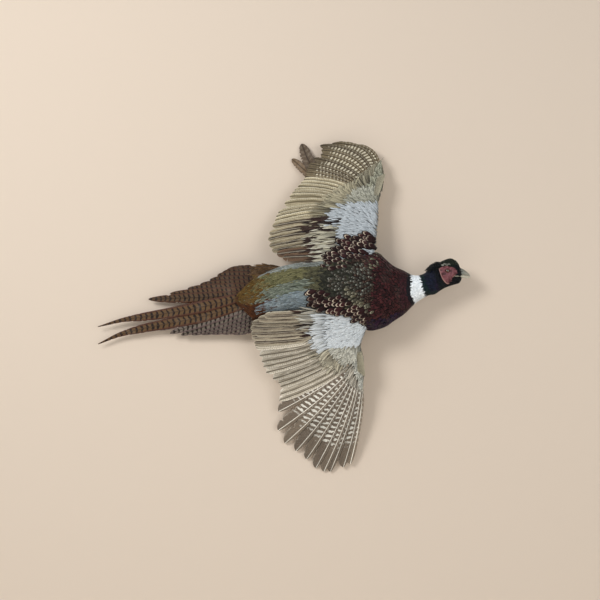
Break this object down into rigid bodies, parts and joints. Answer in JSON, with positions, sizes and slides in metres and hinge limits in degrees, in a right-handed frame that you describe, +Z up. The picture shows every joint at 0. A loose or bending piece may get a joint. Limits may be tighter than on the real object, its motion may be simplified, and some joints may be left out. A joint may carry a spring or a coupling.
{
  "type": "taxidermy pheasant",
  "caption": "Life-size taxidermy cock ring-necked pheasant in flight, wings spread and long tail swept back, with a small steel wall hanger at the belly.",
  "frame": {"origin": "centre of the hanger plate's flat back face, on the wall plane behind the middle of the bird's belly", "axes": "+X from the tail towards the bill, +Y into the wall, +Z up, towards the bird's left wing; the bird's back faces -Y"},
  "size_m": [0.83, 0.1296, 0.7411],
  "materials": {
    "back_plumage": "Overlapping feathers: olive and blue-grey rump, black-green back with cream spots",
    "breast_plumage": "Glossy dark copper-maroon feathers with purple edges",
    "dark_neck_plumage": "Glossy blue-black and green feathers",
    "white_collar_plumage": "Short white feathers",
    "bill_horn": "Pale grey-green horn",
    "eye_glass": "Polished glass eye, dark brown with a black pupil",
    "red_face_skin": "Dull red warty bare skin",
    "grey_covert_plumage": "Soft pale blue-grey feathers",
    "barred_primary_feathers": "Brown flight feathers with cream bars and pale shafts",
    "buff_secondary_feathers": "Buff-olive flight feathers with pale edges",
    "dark_tertial_feathers": "Dark brown feathers with cream edges",
    "barred_tail_feathers": "Olive-brown tail feathers with narrow black bars",
    "brown_covert_plumage": "Loose chestnut and dark brown plumes",
    "leg_scale_skin": "Grey-brown scaled skin with dark claws",
    "hanger_steel": "Plain steel plate and rod"
  },
  "bodies": {
    "root": {"back": "back_plumage", "bill_lower": "bill_horn", "bill_upper": "bill_horn", "breast": "breast_plumage", "eye_left": "eye_glass", "eye_right": "eye_glass", "face_skin_left": "red_face_skin", "face_skin_right": "red_face_skin", "foot_left": "leg_scale_skin", "foot_right": "leg_scale_skin", "hanger_plate": "hanger_steel", "hanger_rod": "hanger_steel", "head": "dark_neck_plumage", "neck_base": "dark_neck_plumage", "neck_collar": "white_collar_plumage", "neck_upper": "dark_neck_plumage", "rump": "back_plumage", "tail_coverts": "brown_covert_plumage", "tail_left": "barred_tail_feathers", "tail_long_left": "barred_tail_feathers", "tail_long_right": "barred_tail_feathers", "tail_right": "barred_tail_feathers", "tarsus_left": "leg_scale_skin", "tarsus_right": "leg_scale_skin", "thigh_left": "brown_covert_plumage", "thigh_right": "brown_covert_plumage", "undertail_coverts": "brown_covert_plumage", "wing_left_alula": "barred_primary_feathers", "wing_left_arm": "grey_covert_plumage", "wing_left_bent_feather_lower": "dark_tertial_feathers", "wing_left_bent_feather_upper": "dark_tertial_feathers", "wing_left_hand": "grey_covert_plumage", "wing_left_primaries": "barred_primary_feathers", "wing_left_secondaries": "buff_secondary_feathers", "wing_left_tertials": "dark_tertial_feathers", "wing_right_alula": "barred_primary_feathers", "wing_right_arm": "grey_covert_plumage", "wing_right_hand": "grey_covert_plumage", "wing_right_primaries": "barred_primary_feathers", "wing_right_secondaries": "buff_secondary_feathers", "wing_right_tertials": "dark_tertial_feathers"}
  },
  "joints": []
}
